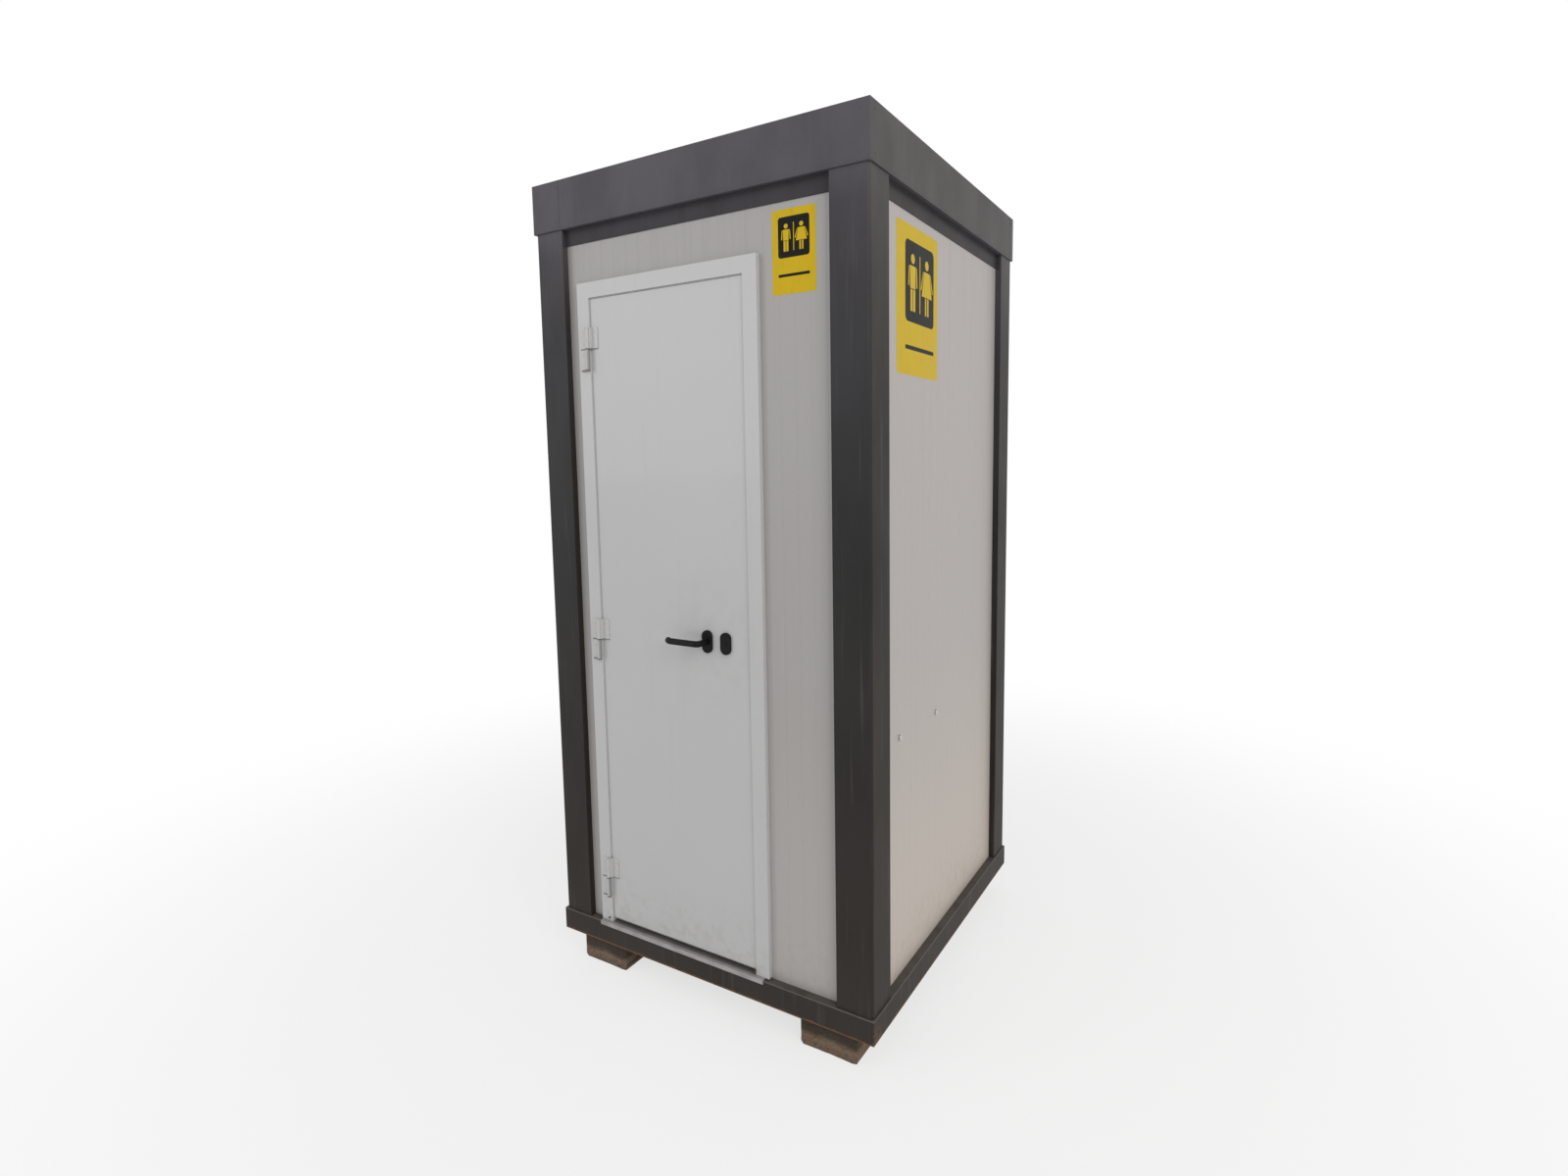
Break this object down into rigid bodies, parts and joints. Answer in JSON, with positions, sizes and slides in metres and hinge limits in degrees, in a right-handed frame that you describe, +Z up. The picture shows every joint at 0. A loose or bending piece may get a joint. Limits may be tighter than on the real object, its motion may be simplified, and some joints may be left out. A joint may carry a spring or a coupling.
{
  "type": "portable toilet cabin",
  "caption": "Box-shaped portable toilet cabin with a dark steel frame, pale sandwich walls, a white lockable door and sanitary fittings inside.",
  "frame": {"origin": "on the ground under the middle of the cabin", "axes": "+Z up, -Y out of the door side, +X to the right when facing the door"},
  "size_m": [1.2, 1.2748, 2.6],
  "materials": {
    "frame_grey": "satin",
    "bearer_timber": "matte",
    "floor_ply": "satin",
    "threshold_metal": "satin",
    "roof_metal": "satin",
    "wall_sandwich": "satin",
    "door_white": "satin",
    "door_filling": "matte",
    "seal_rubber": "matte",
    "hinge_white": "satin",
    "bare_steel": "satin",
    "black_nylon": "satin",
    "ceramic_white": "gloss",
    "seat_plastic": "gloss",
    "chrome_metal": "polished",
    "trap_plastic": "satin",
    "mirror_glass": "polished",
    "paper_white": "matte",
    "window_plastic": "satin",
    "frosted_glass": "satin",
    "light_plastic": "satin",
    "inlet_blue": "satin"
  },
  "bodies": {
    "cabin": {"base_frame": "frame_grey", "post_front_left": "frame_grey", "post_front_right": "frame_grey", "post_rear_right": "frame_grey", "post_rear_left": "frame_grey", "roof_frame": "frame_grey", "skid_left": "bearer_timber", "skid_right": "bearer_timber", "floor_board": "floor_ply", "threshold": "threshold_metal", "roof_sheet": "roof_metal", "ceiling_panel": "wall_sandwich", "left_wall": "wall_sandwich", "right_wall": "wall_sandwich", "rear_wall": "wall_sandwich", "front_panel_left": "wall_sandwich", "front_panel_right": "wall_sandwich", "door_frame": "door_white", "door_seal": "seal_rubber", "hinge_frame_plates": "hinge_white", "hinge_pins": "bare_steel", "strike_plate": "bare_steel", "basin_bolts": "bare_steel", "wc_pan": "ceramic_white", "cistern": "ceramic_white", "cistern_lid": "ceramic_white", "wash_basin": "ceramic_white", "seat_hinge_pin": "seat_plastic", "tap_body": "chrome_metal", "roll_holder": "chrome_metal", "basin_trap": "trap_plastic", "mirror": "mirror_glass", "window_frame": "window_plastic", "light_fitting": "light_plastic", "light_diffuser": "light_plastic", "light_switch": "light_plastic", "power_inlet": "inlet_blue"},
    "door": {"door_outer_skin": "door_white", "door_inner_skin": "door_white", "door_core": "door_filling", "hinge_door_plates": "hinge_white", "rosettes": "black_nylon", "escutcheons": "black_nylon", "lock_case": "bare_steel"},
    "handle": {"outer_lever": "black_nylon", "inner_lever": "black_nylon", "spindle": "bare_steel"},
    "latch": {"latch_bolt": "bare_steel"},
    "bolt": {"dead_bolt": "bare_steel"},
    "turn": {"thumbturn": "black_nylon"},
    "seat": {"wc_seat": "seat_plastic"},
    "lid": {"wc_lid": "seat_plastic"},
    "button": {"flush_button": "chrome_metal"},
    "tap": {"tap_lever": "chrome_metal"},
    "roll": {"toilet_roll": "paper_white"},
    "sash": {"window_sash": "window_plastic", "window_glass": "frosted_glass"},
    "sash_handle": {"window_handle": "window_plastic"},
    "rocker": {"switch_rocker": "light_plastic"},
    "rain_lid": {"inlet_lid": "inlet_blue"}
  },
  "joints": [
    {"name": "door_swing", "type": "hinge", "parent": "cabin", "child": "door", "pos_m": [-0.388, -0.597, 1.15], "axis": [0, 0, -1], "range_deg": [0, 170]},
    {"name": "handle_turn", "type": "hinge", "parent": "door", "child": "handle", "pos_m": [0.0475, -0.564, 1.185], "axis": [0, -1, 0], "range_deg": [0, 40], "stiffness_Nm_per_rad": 1.5, "springref_deg": -20.05},
    {"name": "latch_slide", "type": "slide", "parent": "door", "child": "latch", "axis": [-1, 0, 0], "range_m": [0, 0.0105]},
    {"name": "thumb_turn", "type": "hinge", "parent": "door", "child": "turn", "pos_m": [0.1155, -0.564, 1.185], "axis": [0, 1, 0], "range_deg": [0, 90]},
    {"name": "bolt_slide", "type": "slide", "parent": "door", "child": "bolt", "axis": [1, 0, 0], "range_m": [0, 0.013]},
    {"name": "seat_lift", "type": "hinge", "parent": "cabin", "child": "seat", "pos_m": [0, 0.29, 0.607], "axis": [-1, 0, 0], "range_deg": [0, 93]},
    {"name": "lid_lift", "type": "hinge", "parent": "cabin", "child": "lid", "pos_m": [0, 0.29, 0.607], "axis": [-1, 0, 0], "range_deg": [-96, 0]},
    {"name": "flush_push", "type": "slide", "parent": "cabin", "child": "button", "axis": [0, 0, -1], "range_m": [0, 0.006], "stiffness_N_per_m": 400, "springref_m": -0.01},
    {"name": "tap_turn", "type": "hinge", "parent": "cabin", "child": "tap", "pos_m": [0.481, -0.225, 1.066], "axis": [0, 0, 1], "range_deg": [0, 90]},
    {"name": "roll_spin", "type": "hinge", "parent": "cabin", "child": "roll", "pos_m": [-0.455, 0.093, 0.831], "axis": [0, 1, 0], "continuous": true},
    {"name": "window_tilt", "type": "hinge", "parent": "cabin", "child": "sash", "pos_m": [0, 0.5227, 1.928], "axis": [1, 0, 0], "range_deg": [0, 20]},
    {"name": "window_handle_turn", "type": "hinge", "parent": "sash", "child": "sash_handle", "pos_m": [0, 0.48, 2.174], "axis": [0, 1, 0], "range_deg": [0, 90]},
    {"name": "switch_rock", "type": "hinge", "parent": "cabin", "child": "rocker", "pos_m": [0.315, -0.4935, 1.311], "axis": [1, 0, 0], "range_deg": [0, 12]},
    {"name": "rain_lid_lift", "type": "hinge", "parent": "cabin", "child": "rain_lid", "pos_m": [-0.33, 0.627, 2.266], "axis": [1, 0, 0], "range_deg": [0, 110], "stiffness_Nm_per_rad": 0.06, "springref_deg": -22.92}
  ],
  "couplings": [
    {"joint": "latch_slide", "follows": "handle_turn", "m_per_rad": 0.01504},
    {"joint": "thumb_turn", "follows": "bolt_slide", "rad_per_m": 120.83}
  ]
}
